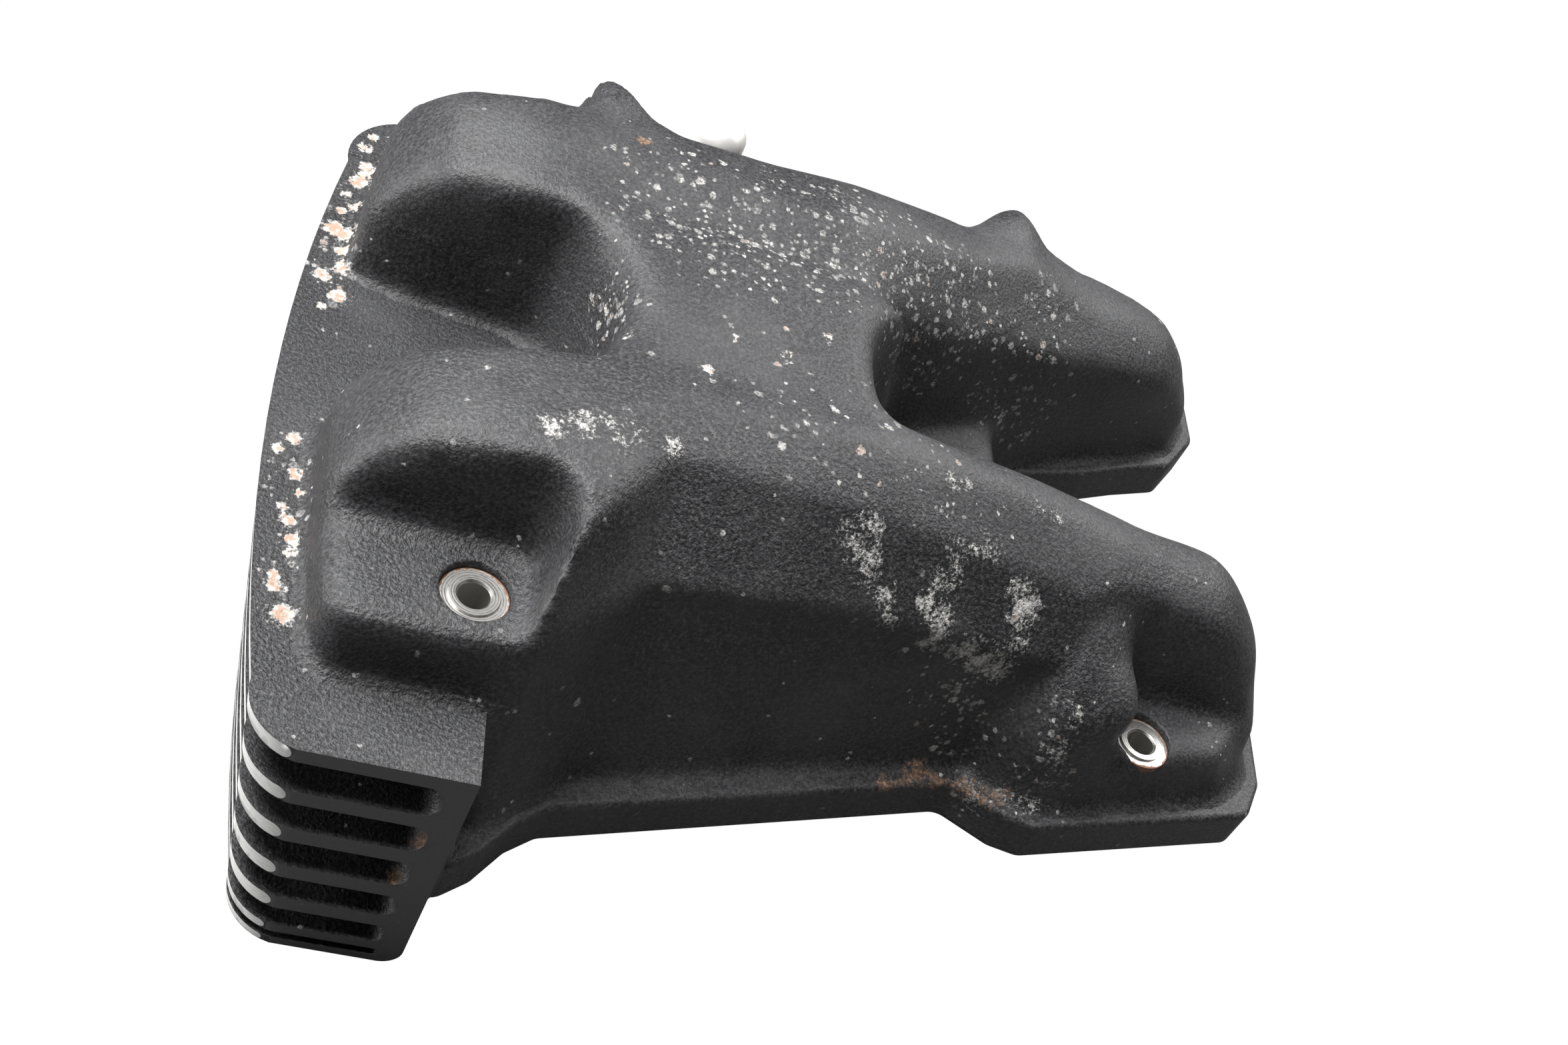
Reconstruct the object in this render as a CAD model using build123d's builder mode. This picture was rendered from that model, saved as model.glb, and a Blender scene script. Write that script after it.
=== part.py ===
from build123d import *
import math
import os

os.makedirs("parts", exist_ok=True)

# Engine valve cover: one hollow light-alloy casting with its sleeves, isolator bushes, seal and stud.
# X runs along the humps from the finned end, Y runs across the cover, Z is up along the bolts.
# Z = 0 is the sealing face. X = Y = 0 is the axis of the near bolt at the finned end.

# ---- overall ----
wall = 4.5
below = 1.0
flange_height = 12.0
flange_corner = 6.0
flange_rim = 1.6
deck_top = 45.0
deck_thickness = 5.0
well_floor = 30.0
cover_top = 100.0

# ---- fin stack ----
near_face = -35.0
far_face = 167.0
stack_middle = (near_face + far_face) / 2
fin_crown = -46.0
fin_corner = -39.4
fin_corner_run = 15.0
far_corner = -38.6
far_corner_run = 20.0
far_bend = -34.6
far_bend_run = 4.6
fin_flat_end = -28.5
stack_end = 8.0
slot_end = 2.6
near_slot_depth = 12.0
outer_slot_wall = -22.0
stack_lean = 0.12
stack_floor = -24.0
slots = ((31.5, 41.0), (18.8, 27.3), (5.8, 14.3), (-6.1, 1.4), (-16.6, -10.3), (-21.8, -19.4))
apron_left = -17.5
apron_near = -18.5

# ---- bolt places and seats ----
bolt_near_fin = (0.0, 0.0)
bolt_far_fin = (0.0, 154.0)
bolt_near_end = (176.0, 31.0)
bolt_far_end = (167.0, 193.0)
high_seat = 62.0
low_seat = 28.0
boss_radius = 12.0

# ---- sleeves and bushes ----
sleeve_bore = 7.0
sleeve_body = 9.4
sleeve_head = 15.0
head_thickness = 2.4
head_recess = 1.2
head_step = 0.6
head_step_radius = 5.4
bush_outer = 13.0
bush_height = 9.0
fit_gap = 0.15

# ---- seal ----
seal_width = 3.0
seal_depth = 3.2
seal_side_gap = 0.2
seal_proud = 0.8

# ---- round-headed stud ----
stud_place = (50.5, 160.0)
stud_diameter = 12.4
stud_top = 79.4
stud_seat = 60.0
stud_shank = 8.0
stud_shank_length = 12.0
stud_boss_radius = 9.0

# ---- mid panels that stand proud of each hump's outer flank ----
panel_rise = 3.4

# Cross sections of the humps: place along X, then (Y, Z) from the outer foot over the top
# to the inner foot. The order is outer foot, flank break, shoulder, crown, inner shoulder, inner foot.
near_hump = (
    (-34.5, ((-16, 0), (-14, 60), (2, 62), (26, 64), (49, 62), (57, 0))),
    (-28.0, ((-16, 0), (-14, 62), (1, 72), (26, 76), (50, 73), (58, 0))),
    (-18.0, ((-16, 0), (-14, 63), (0, 81), (27, 84), (51, 81), (58, 0))),
    (0.0, ((-20, 0), (-13, 63), (0, 85), (27, 88), (52, 85), (59, 0))),
    (14.0, ((-24, 0), (-12, 64), (0, 86), (28, 89), (54, 86), (61, 0))),
    (36.0, ((-6, 0), (9, 66), (30, 86), (43, 89), (59, 86), (66, 0))),
    (84.0, ((9, 0), (19, 56), (40, 82), (50, 86), (62, 83), (70, 0))),
    (128.0, ((22, 0), (28, 46), (46, 70), (56, 75), (68, 72), (75, 0))),
    (160.0, ((26, 0), (33, 38), (47, 62), (58, 66), (72, 62), (79, 0))),
    (188.0, ((34, 0), (38, 34), (50, 54), (60, 57), (73, 54), (80, 0))),
    (204.0, ((38, 0), (41, 30), (52, 40), (61, 42), (72, 40), (79, 0))),
    (213.0, ((42, 0), (44, 24), (54, 27), (62, 28), (70, 27), (77, 0))),
)
far_hump = (
    (-34.5, ((168, 0), (166, 60), (152, 62), (130, 64), (109, 62), (101, 0))),
    (-28.0, ((168, 0), (166, 62), (153, 72), (130, 76), (107, 73), (100, 0))),
    (-18.0, ((169, 0), (167, 63), (154, 81), (128, 84), (105, 81), (99, 0))),
    (0.0, ((171, 0), (167, 63), (154, 85), (125, 88), (103, 85), (98, 0))),
    (14.0, ((173, 0), (166, 64), (154, 86), (124, 89), (101, 86), (95, 0))),
    (36.0, ((171, 0), (153, 71), (139, 85), (122, 88), (102, 84), (96, 0))),
    (84.0, ((178, 0), (160, 60), (141, 84), (124, 87), (104, 80), (98, 0))),
    (122.0, ((193, 0), (176, 50), (158, 71), (142, 74), (122, 62), (117, 0))),
    (141.0, ((200, 0), (189, 50), (180, 66), (153, 69), (131, 56), (126, 0))),
    (165.0, ((205, 0), (194, 40), (176, 55), (156, 58), (140, 51), (138, 0))),
    (195.0, ((214, 0), (202, 32), (180, 45), (164, 48), (151, 43), (153, 0))),
    (204.0, ((215, 0), (204, 29), (180, 38), (166, 41), (155, 36), (157, 0))),
    (213.0, ((216, 0), (206, 20), (182, 26), (170, 28), (159, 25), (161, 0))),
)
hump_fillets = (3, 6, 12, 5)

# Plan limits that round the humps' finned ends.
near_end_plan = ((-35.5, 58.5), (-33.0, 16), (-29.5, -16), (6, -17.5), (6, -60), (300, -60), (300, 130), (0, 130))
far_end_plan = ((-35.0, 100.0), (-33.0, 130), (-26.5, 161), (6, 164), (10, 260), (300, 260), (300, 60), (0, 60))

# Outer edge of the sealing flange, going round from the near fin corner.
flange_edge = (
    (-17.5, -18.5),
    (8, -34),
    (17, -27),
    (24, -18),
    (31, -12.5),
    (131, 18),
    (144, 11),
    (152, 9.5),
    (204, 24.5),
    (214.5, 27.5),
    (220, 39),
    (222, 66),
    (221, 77),
    (213, 84),
    (160, 90),
    (150, 100),
    (150, 128),
    (160, 133),
    (184, 141),
    (199, 148),
    (214, 154),
    (224, 168),
    (225, 204),
    (221, 214),
    (211, 219),
    (148, 207.5),
    (122, 204),
    (40, 178),
    (22, 176),
    (-17.5, 176),
)
# Middle line of the seal and its groove.
seal_line = (
    (-14.6, -15.2),
    (13, -15.2),
    (29, -7.5),
    (131, 23),
    (147, 16),
    (208, 32.5),
    (213.5, 42),
    (216.5, 67),
    (215.5, 73),
    (209.5, 79.5),
    (158, 85.4),
    (145, 98),
    (145, 130),
    (157, 138),
    (197, 152.5),
    (210, 158),
    (219, 170),
    (219.5, 203),
    (216, 210),
    (208, 213),
    (150, 202.5),
    (122, 199),
    (38, 173),
    (22, 171),
    (-14.6, 171),
)


# Plan outlines of the lower ground between the humps.
valley = ((-30, 40), (60, 40), (60, 116), (-30, 116))
saddle = (
    (4, 50),
    (104, 50),
    (98, 58),
    (93, 67),
    (92, 77),
    (94, 88),
    (100, 97),
    (110, 104),
    (110, 112),
    (2, 112),
    (2, 99),
    (9, 93),
    (15, 84),
    (17.5, 74),
    (15, 65),
    (10, 58),
)
saddle_inside = ((25, 45), (87, 52), (87, 112), (25, 112))
saddle_draft = 5.0
# Height of the saddle's top along X, level with the humps beside it.
saddle_roof = ((-40, 86.5), (36, 86.5), (84, 84), (112, 77))
recess = ((80, 60), (146, 66), (146, 136), (80, 116))


def on_inside(points, distance):
    """Moves an open chain of section points inwards by a distance, and its feet below the seal face.

    Args:
        points: (Y, Z) pairs from outer foot to inner foot.
        distance: wall thickness to leave.

    Returns:
        The moved points, as a list of pairs.
    """
    lines = []
    middle = sum(p[0] for p in points) / len(points)
    for (y0, z0), (y1, z1) in zip(points, points[1:]):
        length = math.hypot(y1 - y0, z1 - z0)
        ny, nz = (z1 - z0) / length, -(y1 - y0) / length
        if ny * (middle - y0) + nz * (20.0 - z0) < 0:
            ny, nz = -ny, -nz
        lines.append(((y0 + ny * distance, z0 + nz * distance), (y1 - y0, z1 - z0)))
    moved = []
    for (p, d), (q, e) in zip(lines, lines[1:]):
        cross = d[0] * e[1] - d[1] * e[0]
        t = ((q[0] - p[0]) * e[1] - (q[1] - p[1]) * e[0]) / cross
        moved.append((p[0] + d[0] * t, p[1] + d[1] * t))
    (p, d), (q, e) = lines[0], lines[-1]
    t = (-below - p[1]) / d[1]
    first = (p[0] + d[0] * t, -below)
    t = (-below - q[1]) / e[1]
    last = (q[0] + e[0] * t, -below)
    return [first, *moved, last]


def hump(sections, plan, inset=0.0):
    """One hump as a loft along X through its rounded cross sections.

    Args:
        sections: the table of cross sections.
        plan: the outline that rounds the finned end.
        inset: wall thickness to stay inside the outer face by; 0 gives the outer face.

    Returns:
        The solid.
    """
    with BuildPart() as body:
        last = len(sections) - 1
        for place, (x, points) in enumerate(sections):
            shift = inset if place == 0 else -inset if place == last else 0.0
            chain = on_inside(points, inset) if inset else list(points)
            with BuildSketch(Plane.YZ.offset(x + shift)):
                with BuildLine():
                    if inset:
                        Polyline(*chain)
                    else:
                        FilletPolyline(*chain, radius=hump_fillets)
                    Line(chain[-1], chain[0])
                make_face()
        loft(ruled=True)
        with BuildSketch(Plane.XY.offset(-2 * below)):
            with BuildLine():
                Polyline(*plan, close=True)
            make_face()
            corners = vertices().sort_by(Axis.X)[:3]
            fillet(corners.sort_by(Axis.Y)[0], radius=12)
            fillet(vertices().sort_by(Axis.X)[:4].sort_by(Axis.Y)[-1], radius=7)
            if inset:
                offset(amount=-inset, kind=Kind.INTERSECTION)
        extrude(amount=cover_top + 4 * below, mode=Mode.INTERSECT)
    return body.part


def plan_prism(points, low, high, draft=0.0, grow=0.0, radius=0.0):
    """An upright block on a closed plan outline.

    Args:
        points: the (X, Y) corners.
        low: height of its underside.
        high: height of its top.
        draft: degrees its sides lean inwards going up; negative leans outwards.
        grow: distance the outline is moved outwards first.
        radius: rounding of the outline's corners.

    Returns:
        The solid.
    """
    with BuildPart() as block:
        with BuildSketch(Plane.XY.offset(low)):
            with BuildLine():
                Polyline(*points, close=True)
            make_face()
            if radius:
                fillet(vertices(), radius=radius)
            if grow:
                offset(amount=grow, kind=Kind.INTERSECTION)
        extrude(amount=high - low, taper=draft)
    return block.part


# Open bolt pockets in plan, and the height each is cut down to.
near_fin_pocket = ((-80, -80), (10, -80), (10, -14), (12.5, 4), (12.5, 13), (-80, 15))
far_fin_pocket = ((-80, 240), (10, 240), (10, 168), (12.5, 150), (12.5, 141), (-80, 139))
near_end_pocket = ((163, -80), (300, -80), (300, 47), (163, 43))
far_end_pocket = ((147, 300), (300, 300), (300, 186), (147, 176))
pockets = (
    (near_fin_pocket, high_seat, bolt_near_fin),
    (far_fin_pocket, high_seat, bolt_far_fin),
    (near_end_pocket, low_seat, bolt_near_end),
    (far_end_pocket, low_seat, bolt_far_end),
)
pocket_draft = -8.0
pocket_corner = 7.0

# Lower parts of the two legs: the outline at the flange, then at the pocket floor.
near_leg = (
    ((134, 32), (146, 15.5), (152, 14.5), (204, 30), (214, 40), (216.5, 70), (210, 80), (158, 86), (134, 86)),
    ((134, 36), (147, 19.5), (153, 18.5), (198, 31), (205, 42), (207, 70), (202, 78), (160, 84), (134, 84)),
)
far_leg = (
    (
        (126, 130),
        (152, 132),
        (160, 137.5),
        (199, 152.5),
        (212, 160),
        (219, 171),
        (219, 204),
        (208, 214),
        (150, 203),
        (126, 188),
    ),
    (
        (126, 130),
        (152, 134),
        (162, 139.5),
        (197, 154),
        (205, 161),
        (211, 172),
        (211, 198),
        (202, 208),
        (152, 199),
        (128, 184),
    ),
)

# Raised panels on the outer flanks: place along X, lower edge (Y, Z), upper edge (Y, Z).
near_panel = (
    (34.5, (7.5, 66), (29, 86)),
    (84.0, (19, 56), (40, 82)),
    (128.0, (28, 46), (46, 70)),
    (146.0, (30.8, 41.5), (46.6, 65.5)),
    (156.5, (32.5, 38.7), (46.9, 62.7)),
)
# The flank's bulge beside the near bolt pocket: height, then its plan outline there.
near_bulge = (
    (8.0, ((136, 50), (136, 21), (146, 16.5), (157, 16.5), (164, 21), (167.2, 29), (167.2, 50))),
    (28.0, ((136, 50), (136, 24), (146, 17.5), (157.5, 17.5), (164.2, 22), (167.6, 30), (167.6, 50))),
    (40.0, ((136, 52), (137, 30), (147, 21), (157, 20.5), (163.5, 25), (166.8, 33), (166.8, 52))),
    (49.0, ((136, 54), (138, 37), (148, 28.5), (156.5, 29), (161.5, 34), (164.2, 42), (164.2, 54))),
    (57.0, ((138, 56), (141, 44), (149, 38.5), (154.5, 40), (158, 44.5), (160.5, 50), (160.5, 56))),
)
far_panel = (
    (46.0, (154.5, 68.5), (139.5, 84.5)),
    (84.0, (160, 60), (141, 84)),
    (118.0, (174.5, 51.5), (156.5, 72.5)),
)


def flange():
    """The sealing flange, with rounded corners and a rounded upper rim.

    Returns:
        The solid.
    """
    with BuildPart() as block:
        with BuildSketch():
            with BuildLine():
                Polyline(*flange_edge, close=True)
            make_face()
            fillet(vertices().filter_by_position(Axis.X, stack_end, cover_top * 3), radius=flange_corner)
        extrude(amount=flange_height)
        rim = block.edges().group_by(Axis.Z)[-1].filter_by(lambda edge: edge.bounding_box().max.X > stack_end)
        fillet(rim, radius=flange_rim)
    return block.part


def saddle_block(outline, inset=0.0):
    """The raised ground that links the two humps.

    Args:
        outline: its plan.
        inset: distance to keep below its top; 0 gives the outer face.

    Returns:
        The solid.
    """
    with BuildPart() as block:
        add(plan_prism(outline, -below if inset else 0.0, cover_top, saddle_draft))
        with BuildSketch(Plane.XZ):
            with BuildLine():
                tops = [(x, z - inset) for x, z in saddle_roof]
                Polyline((tops[0][0], -below), *tops, (tops[-1][0], -below), close=True)
            make_face()
        extrude(amount=-cover_top * 2, mode=Mode.INTERSECT)
    return block.part


def fin_stack():
    """The block of plates at the finned end, leaning, with its slots and its apron below the seal face.

    Returns:
        The solid.
    """
    shift = stack_lean * (deck_top - stack_floor)
    with BuildPart() as stack:
        for height, move in ((deck_top, 0.0), (stack_floor, shift)):
            with BuildSketch(Plane.XY.offset(height)):
                with BuildLine():
                    flat = fin_flat_end + move
                    corner = fin_corner + move
                    bend = (flat * 0.3 + corner * 0.7, fin_corner_run * 0.29)
                    Polyline((flat, near_face), (stack_end, near_face), (stack_end, far_face), (flat, far_face))
                    ThreePointArc((flat, near_face), (bend[0], near_face + bend[1]), (corner, near_face + fin_corner_run))
                    ThreePointArc(
                        (corner, near_face + fin_corner_run),
                        (fin_crown + move, stack_middle),
                        (far_corner + move, far_face - far_corner_run),
                    )
                    ThreePointArc(
                        (far_corner + move, far_face - far_corner_run),
                        (far_bend + move, far_face - far_bend_run),
                        (flat, far_face),
                    )
                make_face()
        loft(ruled=True)
        # under the seal face only the apron is left
        with BuildSketch():
            with BuildLine():
                Polyline(
                    (apron_left, apron_near),
                    (stack_end + below, apron_near),
                    (stack_end + below, far_face + below),
                    (apron_left, far_face + below),
                    close=True,
                )
            make_face()
        extrude(amount=stack_floor - below, mode=Mode.SUBTRACT)
        near_bottom = stack.edges().filter_by(Axis.Y).group_by(Axis.Z)[0].sort_by(Axis.X)[-1]
        fillet(near_bottom, radius=5)
        for low, high in slots:
            # along the outer side
            with BuildSketch(Plane.XY.offset(low)):
                with Locations((outer_slot_wall, stack_middle)):
                    Rectangle(60, 400, align=(Align.MAX, Align.CENTER))
            extrude(amount=high - low, mode=Mode.SUBTRACT)
            # along the near side, closed by a round end
            with BuildSketch(Plane.XZ.offset(-near_face)):
                with Locations((slot_end, (low + high) / 2)):
                    Rectangle(80, high - low, align=(Align.MAX, Align.CENTER))
                fillet(vertices().group_by(Axis.X)[-1], radius=min(4.0, (high - low) * 0.45))
            extrude(amount=-near_slot_depth, mode=Mode.SUBTRACT)
    return stack.part


def hollow():
    """Everything that is empty inside the casting, kept clear of the fins, pockets and bolt bosses.

    Returns:
        The solid to take away.
    """
    with BuildPart() as empty:
        add(hump(near_hump, near_end_plan, wall))
        add(hump(far_hump, far_end_plan, wall))
        # under the valley, the saddle and the recess
        add(plan_prism(((-30, 45), (40, 45), (40, 112), (-30, 112)), -below, deck_top - deck_thickness))
        add(saddle_block(saddle_inside, wall))
        add(plan_prism(((80, 60), (142, 66), (142, 132), (80, 116)), -below, well_floor - wall))
        # nothing above the flange reaches into it
        add(plan_prism(((-60, -60), (300, -60), (300, 300), (-60, 300)), -3 * below, flange_height), mode=Mode.SUBTRACT)
        add(plan_prism(seal_line, -below, flange_height, grow=-5.2))
        # the solid core behind the fins
        add(
            plan_prism(((-60, -60), (-19, -60), (-19, 260), (-60, 260)), -below, deck_top + wall),
            mode=Mode.SUBTRACT,
        )
        for outline, seat, place in pockets:
            keep = plan_prism(outline, seat - wall, cover_top, pocket_draft, grow=wall + below)
            add(keep, mode=Mode.SUBTRACT)
            with BuildSketch(Plane.XY.offset(-below)):
                with Locations(place):
                    Circle(boss_radius)
            extrude(amount=seat, mode=Mode.SUBTRACT)
        # the finned end's bosses run into the flange corners
        for x, y in (bolt_near_fin, bolt_far_fin):
            outward = -20 if y < stack_middle else 20
            corner = ((x - 20, y + outward), (x, y + outward), (x, y), (x - 20, y))
            add(plan_prism(corner, -below, flange_height + below), mode=Mode.SUBTRACT)
        with BuildSketch(Plane.XY.offset(stud_seat - stud_shank_length - wall)):
            with Locations(stud_place):
                Circle(stud_boss_radius)
        extrude(amount=cover_top - stud_seat, mode=Mode.SUBTRACT)
    return empty.part


def stacked(outlines):
    """A block through plan outlines at rising heights.

    Args:
        outlines: pairs of a height and the closed plan outline there.

    Returns:
        The solid.
    """
    with BuildPart() as block:
        for height, outline in outlines:
            with BuildSketch(Plane.XY.offset(height)):
                with BuildLine():
                    Polyline(*outline, close=True)
                make_face()
        loft(ruled=True)
    return block.part


def leg_base(outlines, radius=0.0):
    """The lower part of a leg, sloping in from the flange to the pocket floor.

    Args:
        outlines: the plan outline at the flange and the one at the pocket floor.
        radius: rounding of the floor's outer edges.

    Returns:
        The solid.
    """
    with BuildPart() as base:
        add(stacked(zip((0.0, flange_height, low_seat), (outlines[0], *outlines))))
        if radius:
            fillet(base.edges().group_by(Axis.Z)[-1].sort_by(Axis.Y)[:2], radius=radius)
    return base.part


def flank_panel(sections, side):
    """A raised panel on a hump's flank, with sloped borders.

    Args:
        sections: place along X with the panel's lower and upper edge there.
        side: -1 on the near flank, 1 on the far flank.

    Returns:
        The solid.
    """
    with BuildPart() as panel:
        ends = (0, len(sections) - 1)
        for place, (x, (y0, z0), (y1, z1)) in enumerate(sections):
            length = math.hypot(y1 - y0, z1 - z0)
            along = Vector((y1 - y0) / length, (z1 - z0) / length)
            out = Vector(side * abs(along.Y), abs(along.X))
            rise = 0.3 if place in ends else panel_rise
            low, high = Vector(y0, z0), Vector(y1, z1)
            with BuildSketch(Plane.YZ.offset(x)):
                with BuildLine():
                    Polyline(
                        low,
                        low + (along + out) * rise,
                        high + out * rise - along * 2 * rise,
                        high,
                        high - out * wall * 0.6,
                        low - out * wall * 0.6,
                        close=True,
                    )
                make_face()
        loft(ruled=True)
    return panel.part


with BuildPart() as cover:
    add(hump(near_hump, near_end_plan))
    add(hump(far_hump, far_end_plan))
    # valley deck, saddle and recess floor between the humps
    add(plan_prism(valley, 0, deck_top))
    add(saddle_block(saddle))
    add(plan_prism(recess, 0, well_floor))
    add(flange())
    add(leg_base(near_leg, 5.0))
    add(leg_base(far_leg))
    add(fin_stack())
    # seat for the stud
    with BuildSketch(Plane.XY.offset(stud_seat - stud_shank_length)):
        with Locations(stud_place):
            Circle(stud_boss_radius)
    extrude(amount=stud_shank_length)
    for outline, seat, place in pockets:
        add(plan_prism(outline, seat, cover_top, pocket_draft, radius=pocket_corner), mode=Mode.SUBTRACT)
    add(flank_panel(near_panel, -1))
    add(stacked(near_bulge))
    add(flank_panel(far_panel, 1))
    add(hollow(), mode=Mode.SUBTRACT)
    # stepped bolt holes: counterbore, bush bore, sleeve bore
    for outline, seat, place in pockets:
        with BuildSketch(Plane.XY.offset(-below)):
            with Locations(place):
                Circle(sleeve_body / 2 + fit_gap)
        extrude(amount=seat + 2 * below, mode=Mode.SUBTRACT)
        with BuildSketch(Plane.XY.offset(seat - head_recess - head_thickness - bush_height)):
            with Locations(place):
                Circle(bush_outer / 2 + fit_gap)
        extrude(amount=bush_height + head_thickness + head_recess + below, mode=Mode.SUBTRACT)
        with BuildSketch(Plane.XY.offset(seat - head_recess - head_thickness)):
            with Locations(place):
                Circle(sleeve_head / 2 + fit_gap)
        extrude(amount=head_thickness + head_recess + below, mode=Mode.SUBTRACT)
    # spot face and hole for the stud
    with BuildSketch(Plane.XY.offset(stud_seat)):
        with Locations(stud_place):
            Circle(stud_diameter / 2 + below)
    extrude(amount=cover_top - stud_seat, mode=Mode.SUBTRACT)
    with BuildSketch(Plane.XY.offset(stud_seat)):
        with Locations(stud_place):
            Circle(stud_shank / 2 + fit_gap)
    extrude(amount=-stud_shank_length, mode=Mode.SUBTRACT)
    # groove for the seal
    with BuildSketch():
        with BuildLine():
            Polyline(*seal_line, close=True)
        make_face()
        offset(amount=seal_width / 2 + seal_side_gap, kind=Kind.INTERSECTION)
        with BuildLine():
            Polyline(*seal_line, close=True)
            offset(amount=-(seal_width / 2 + seal_side_gap), kind=Kind.INTERSECTION, mode=Mode.REPLACE)
        make_face(mode=Mode.SUBTRACT)
    extrude(amount=seal_depth - seal_proud, mode=Mode.SUBTRACT)
cover.part.label = "cover"
export_step(cover.part, "parts/cover.step")


with BuildPart() as seal:
    with BuildSketch(Plane.XY.offset(-seal_proud)):
        with BuildLine():
            Polyline(*seal_line, close=True)
        make_face()
        offset(amount=seal_width / 2, kind=Kind.INTERSECTION)
        with BuildLine():
            Polyline(*seal_line, close=True)
            offset(amount=-seal_width / 2, kind=Kind.INTERSECTION, mode=Mode.REPLACE)
        make_face(mode=Mode.SUBTRACT)
    extrude(amount=seal_depth)
seal.part.label = "seal"
export_step(seal.part, "parts/seal.step")


def sleeve(place, seat):
    """A headed steel sleeve standing on the seal face's level.

    Args:
        place: the bolt's (X, Y).
        seat: height of the pocket floor round it.

    Returns:
        The solid.
    """
    top = seat - head_recess
    with BuildPart() as tube:
        with BuildSketch():
            with Locations(place):
                Circle(sleeve_body / 2)
        extrude(amount=top - below)
        with BuildSketch(Plane.XY.offset(top - head_thickness)):
            with Locations(place):
                Circle(sleeve_head / 2)
        extrude(amount=head_thickness - head_step)
        with BuildSketch(Plane.XY.offset(top - head_step)):
            with Locations(place):
                Circle(head_step_radius)
        extrude(amount=head_step)
        with BuildSketch(Plane.XY.offset(-below)):
            with Locations(place):
                Circle(sleeve_bore / 2)
        extrude(amount=top + 2 * below, mode=Mode.SUBTRACT)
        rims = tube.edges().filter_by(GeomType.CIRCLE)
        chamfer(rims.group_by(Axis.Z)[-1].sort_by(SortBy.RADIUS)[0], length=0.5)
    return tube.part


def bush(place, seat):
    """A rubber ring under a sleeve's head.

    Args:
        place: the bolt's (X, Y).
        seat: height of the pocket floor round it.

    Returns:
        The solid.
    """
    with BuildPart() as ring:
        with BuildSketch(Plane.XY.offset(seat - head_recess - head_thickness - bush_height)):
            with Locations(place):
                Circle(bush_outer / 2)
                Circle(sleeve_body / 2 + fit_gap, mode=Mode.SUBTRACT)
        extrude(amount=bush_height)
    return ring.part


for tag, (outline, seat, place) in zip(("near_fin", "far_fin", "near_end", "far_end"), pockets):
    with BuildPart() as sleeve_piece:
        add(sleeve(place, seat))
    sleeve_piece.part.label = "sleeve_" + tag
    export_step(sleeve_piece.part, "parts/sleeve_" + tag + ".step")
    with BuildPart() as bush_piece:
        add(bush(place, seat))
    bush_piece.part.label = "bush_" + tag
    export_step(bush_piece.part, "parts/bush_" + tag + ".step")


with BuildPart() as stud:
    with BuildSketch(Plane.XY.offset(stud_seat - stud_shank_length)):
        with Locations(stud_place):
            Circle(stud_shank / 2)
    extrude(amount=stud_shank_length)
    with BuildSketch(Plane.XY.offset(stud_seat)):
        with Locations(stud_place):
            Circle(stud_diameter / 2)
    extrude(amount=stud_top - stud_seat)
    fillet(stud.edges().group_by(Axis.Z)[-1], radius=stud_diameter * 0.42)
stud.part.label = "stud"
export_step(stud.part, "parts/stud.step")
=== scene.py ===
"""Engine valve cover: the looks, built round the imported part."""

import logging
import math
from dataclasses import dataclass, field
from enum import Enum

import bmesh
import bpy
import numpy as np
from mathutils import Matrix, Vector


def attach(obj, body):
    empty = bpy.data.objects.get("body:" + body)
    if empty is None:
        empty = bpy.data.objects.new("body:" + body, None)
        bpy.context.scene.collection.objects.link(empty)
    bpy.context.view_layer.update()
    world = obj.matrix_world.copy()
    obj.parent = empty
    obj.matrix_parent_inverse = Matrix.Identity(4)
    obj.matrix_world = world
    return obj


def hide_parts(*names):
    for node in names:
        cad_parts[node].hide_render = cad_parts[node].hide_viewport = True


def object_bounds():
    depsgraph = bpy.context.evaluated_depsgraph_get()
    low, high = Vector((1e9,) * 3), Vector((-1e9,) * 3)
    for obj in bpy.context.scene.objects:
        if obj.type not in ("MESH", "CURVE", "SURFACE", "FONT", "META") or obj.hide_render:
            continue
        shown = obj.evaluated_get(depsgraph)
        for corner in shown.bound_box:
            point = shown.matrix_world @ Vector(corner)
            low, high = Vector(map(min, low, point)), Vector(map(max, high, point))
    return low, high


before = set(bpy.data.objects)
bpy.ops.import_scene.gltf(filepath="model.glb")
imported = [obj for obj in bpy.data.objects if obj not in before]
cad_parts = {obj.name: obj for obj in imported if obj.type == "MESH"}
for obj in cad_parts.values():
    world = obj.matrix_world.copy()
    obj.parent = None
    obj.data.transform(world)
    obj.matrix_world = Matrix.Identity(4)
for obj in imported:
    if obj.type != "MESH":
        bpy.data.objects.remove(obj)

LOG = logging.getLogger("valve_cover")
CAD_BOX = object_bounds()


# ---------------------------------------------------------------- small tools


def mm(value: float) -> float:
    """Millimetres as metres."""
    return value / 1000.0


def linear(colour: str) -> tuple[float, float, float, float]:
    """An sRGB hex colour as linear RGBA.

    Args:
        colour: six hex digits with a leading hash.

    Returns:
        Linear red, green and blue with alpha 1.
    """
    parts = [int(colour[i : i + 2], 16) / 255 for i in (1, 3, 5)]
    red, green, blue = (c / 12.92 if c <= 0.04045 else ((c + 0.055) / 1.055) ** 2.4 for c in parts)
    return red, green, blue, 1.0


def node(
    tree: bpy.types.NodeTree, kind: str, settings: dict | None = None, **links: object
) -> bpy.types.Node:
    """Adds one shader node.

    Args:
        tree: the node tree.
        kind: the node's type name.
        settings: attributes set on the node, such as its operation.
        links: input socket, by name or by "i0", "i1" for its place, to a value or to another node's
            output socket.

    Returns:
        The node.
    """
    made = tree.nodes.new(kind)
    for name, value in (settings or {}).items():
        setattr(made, name, value)
    for name, value in links.items():
        place = int(name[1:]) if name[0] == "i" and name[1:].isdigit() else name.replace("_", " ")
        socket = made.inputs[place]
        if isinstance(value, bpy.types.NodeSocket):
            tree.links.new(value, socket)
        else:
            socket.default_value = value
    return made


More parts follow.
